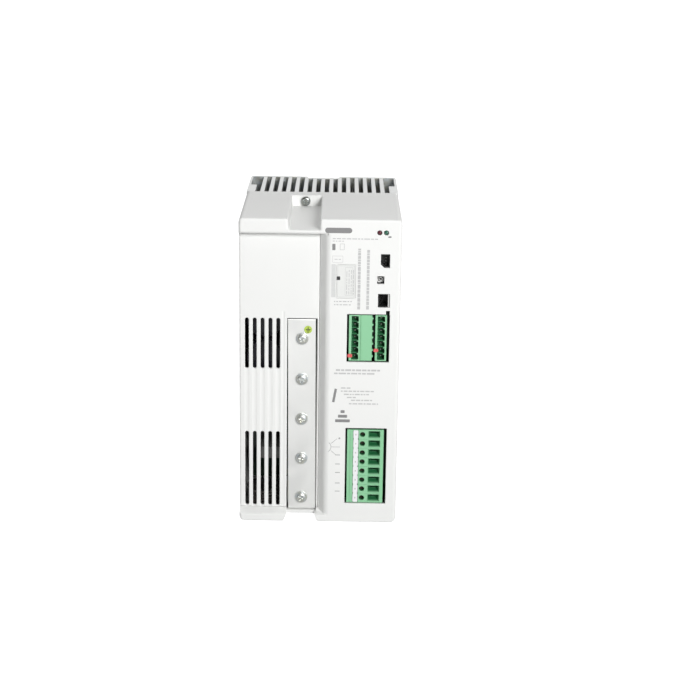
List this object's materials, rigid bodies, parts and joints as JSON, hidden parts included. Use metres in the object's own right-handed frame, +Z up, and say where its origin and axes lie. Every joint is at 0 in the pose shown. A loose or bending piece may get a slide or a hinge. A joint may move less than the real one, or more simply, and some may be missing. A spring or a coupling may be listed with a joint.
{
  "type": "servo drive",
  "caption": "Wall-mounted servo drive: a white hood with ports, pluggable terminals and an earthing plate, over a finned heatsink cooled by fans.",
  "frame": {"origin": "middle of the bottom of the whole box", "axes": "+Z up, +X to the right seen from the front, +Y back towards the wall it is fastened to"},
  "size_m": [0.125, 0.18, 0.247],
  "materials": {
    "white_plastic": "fine satin texture, painted look",
    "green_plastic": "satin, moulded",
    "black_plastic": "satin, moulded",
    "grey_plastic": "satin, moulded",
    "marker_white": "matt",
    "red_plastic": "satin, moulded",
    "red_lens": "clear tinted, unlit",
    "green_lens": "clear tinted, unlit",
    "label_foil": "silver-grey polyester film",
    "earth_yellow": "matt film",
    "aluminium": "mill finish, drawn along its length",
    "zinc_steel": "zinc plated",
    "board_green": "solder resist",
    "copper": "enamelled copper wire",
    "ferrite": "dark matt ferrite"
  },
  "bodies": {
    "drive": {"hood": "white_plastic", "power_cover": "white_plastic", "earthing_plate": "aluminium", "heatsink": "aluminium", "plate_bracket": "zinc_steel", "plate_screw_1": "zinc_steel", "plate_screw_2": "zinc_steel", "plate_screw_3": "zinc_steel", "plate_screw_4": "zinc_steel", "plate_screw_5": "zinc_steel", "hood_screw": "zinc_steel", "rear_plate": "zinc_steel", "standoff_1": "zinc_steel", "standoff_2": "zinc_steel", "standoff_3": "zinc_steel", "standoff_4": "zinc_steel", "earth_label": "earth_yellow", "rating_label": "label_foil", "status_light_red": "red_lens", "status_light_green": "green_lens", "aux_port": "black_plastic", "network_jack": "black_plastic", "board_connector": "black_plastic", "terminal_riser": "black_plastic", "inrush_relay": "black_plastic", "igbt_module": "black_plastic", "rectifier_module": "black_plastic", "fan_frame_left": "black_plastic", "fan_frame_right": "black_plastic", "link_capacitor_1": "black_plastic", "link_capacitor_2": "black_plastic", "link_capacitor_3": "black_plastic", "link_capacitor_4": "black_plastic", "reset_switch": "grey_plastic", "film_capacitor": "grey_plastic", "control_header_left": "green_plastic", "control_header_right": "green_plastic", "power_header": "green_plastic", "coding_tab_left": "red_plastic", "coding_tab_right": "red_plastic", "control_board": "board_green", "terminal_board": "board_green", "power_board": "board_green", "supply_transformer": "ferrite", "mains_choke": "copper"},
    "plug": {"power_plug": "green_plastic", "marker_strip": "marker_white"},
    "terminal_screw_1": {"terminal_screw_1": "zinc_steel"},
    "terminal_screw_2": {"terminal_screw_2": "zinc_steel"},
    "terminal_screw_3": {"terminal_screw_3": "zinc_steel"},
    "terminal_screw_4": {"terminal_screw_4": "zinc_steel"},
    "terminal_screw_5": {"terminal_screw_5": "zinc_steel"},
    "terminal_screw_6": {"terminal_screw_6": "zinc_steel"},
    "terminal_screw_7": {"terminal_screw_7": "zinc_steel"},
    "terminal_screw_8": {"terminal_screw_8": "zinc_steel"},
    "fan_left": {"fan_rotor_left": "black_plastic"},
    "fan_right": {"fan_rotor_right": "black_plastic"},
    "button": {"reset_button": "black_plastic"}
  },
  "joints": [
    {"name": "plug_slide", "type": "slide", "parent": "drive", "child": "plug", "axis": [0, -1, 0], "range_m": [0, 0.02]},
    {"name": "terminal_screw_1_turn", "type": "hinge", "parent": "plug", "child": "terminal_screw_1", "pos_m": [0.0349, -0.0835, 0.07412], "axis": [0, -1, 0], "range_deg": [0, 1440]},
    {"name": "terminal_screw_2_turn", "type": "hinge", "parent": "plug", "child": "terminal_screw_2", "pos_m": [0.0349, -0.0835, 0.0665], "axis": [0, -1, 0], "range_deg": [0, 1440]},
    {"name": "terminal_screw_3_turn", "type": "hinge", "parent": "plug", "child": "terminal_screw_3", "pos_m": [0.0349, -0.0835, 0.05888], "axis": [0, -1, 0], "range_deg": [0, 1440]},
    {"name": "terminal_screw_4_turn", "type": "hinge", "parent": "plug", "child": "terminal_screw_4", "pos_m": [0.0349, -0.0835, 0.05126], "axis": [0, -1, 0], "range_deg": [0, 1440]},
    {"name": "terminal_screw_5_turn", "type": "hinge", "parent": "plug", "child": "terminal_screw_5", "pos_m": [0.0349, -0.0835, 0.04364], "axis": [0, -1, 0], "range_deg": [0, 1440]},
    {"name": "terminal_screw_6_turn", "type": "hinge", "parent": "plug", "child": "terminal_screw_6", "pos_m": [0.0349, -0.0835, 0.03602], "axis": [0, -1, 0], "range_deg": [0, 1440]},
    {"name": "terminal_screw_7_turn", "type": "hinge", "parent": "plug", "child": "terminal_screw_7", "pos_m": [0.0349, -0.0835, 0.0284], "axis": [0, -1, 0], "range_deg": [0, 1440]},
    {"name": "terminal_screw_8_turn", "type": "hinge", "parent": "plug", "child": "terminal_screw_8", "pos_m": [0.0349, -0.0835, 0.02078], "axis": [0, -1, 0], "range_deg": [0, 1440]},
    {"name": "fan_left_spin", "type": "hinge", "parent": "drive", "child": "fan_left", "pos_m": [-0.0301, 0.051, 0.01475], "axis": [0, 0, 1], "continuous": true},
    {"name": "fan_right_spin", "type": "hinge", "parent": "drive", "child": "fan_right", "pos_m": [0.0301, 0.051, 0.01475], "axis": [0, 0, 1], "continuous": true},
    {"name": "button_press", "type": "slide", "parent": "drive", "child": "button", "axis": [0, 1, 0], "range_m": [0, 0.0005], "stiffness_N_per_m": 2000, "springref_m": -0.0003}
  ]
}
